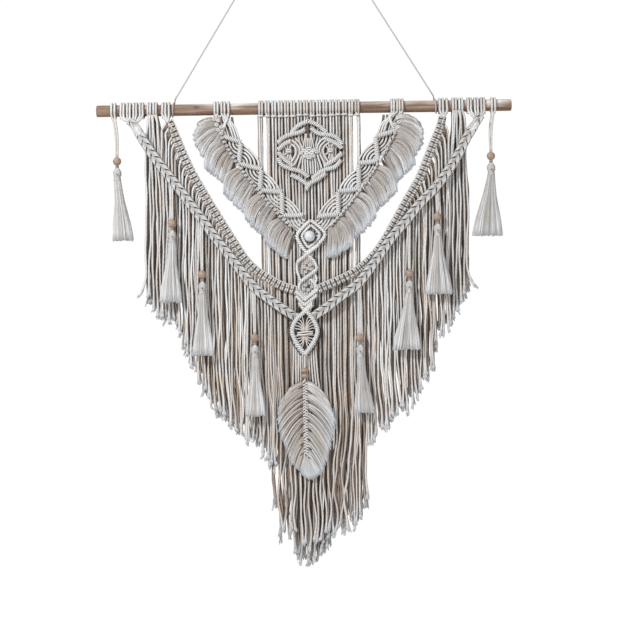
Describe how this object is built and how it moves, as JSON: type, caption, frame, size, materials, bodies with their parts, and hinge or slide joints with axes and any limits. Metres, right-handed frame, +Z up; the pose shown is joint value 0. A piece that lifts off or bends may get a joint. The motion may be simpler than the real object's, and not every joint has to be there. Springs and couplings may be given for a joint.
{
  "type": "macrame wall hanging on a wooden rod",
  "caption": "Cotton macrame wall hanging on a round wooden rod, with a thin hanging cord, knotted leaf panel, swags, long pointed fringe, feather, beads and tassels.",
  "frame": {"origin": "underside of the hanging cord at its apex, where it bears on a nail or hook", "axes": "+X along the rod to the viewer's right, +Y to the wall, +Z up"},
  "size_m": [0.6, 0.043, 0.9719],
  "materials": {
    "cotton_cord": "natural undyed twisted cotton, matt",
    "weathered_wood": "weathered, unvarnished",
    "bead_wood": "bare turned wood",
    "white_stone": "white stone, smooth"
  },
  "bodies": {
    "root": {"rod": "weathered_wood", "hanging_cord": "cotton_cord", "centre_panel": "cotton_cord", "left_strands": "cotton_cord", "right_strands": "cotton_cord", "left_swag": "cotton_cord", "right_swag": "cotton_cord", "left_braid": "cotton_cord", "right_braid": "cotton_cord", "left_garland": "cotton_cord", "right_garland": "cotton_cord", "left_garland_fringe": "cotton_cord", "right_garland_fringe": "cotton_cord", "centre_column": "cotton_cord", "feather": "cotton_cord", "outer_left_cord": "cotton_cord", "outer_right_cord": "cotton_cord", "left_1_cord": "cotton_cord", "left_2_cord": "cotton_cord", "left_3_cord": "cotton_cord", "right_1_cord": "cotton_cord", "right_2_cord": "cotton_cord", "right_3_cord": "cotton_cord", "outer_left_tassel": "cotton_cord", "outer_right_tassel": "cotton_cord", "left_1_tassel": "cotton_cord", "left_2_tassel": "cotton_cord", "left_3_tassel": "cotton_cord", "right_1_tassel": "cotton_cord", "right_2_tassel": "cotton_cord", "right_3_tassel": "cotton_cord", "stone_bead": "white_stone", "feather_bead_1": "bead_wood", "feather_bead_2": "bead_wood", "outer_left_bead": "bead_wood", "outer_right_bead": "bead_wood", "left_1_bead": "bead_wood", "left_2_bead": "bead_wood", "left_3_bead": "bead_wood", "right_1_bead": "bead_wood", "right_2_bead": "bead_wood", "right_3_bead": "bead_wood"}
  },
  "joints": []
}
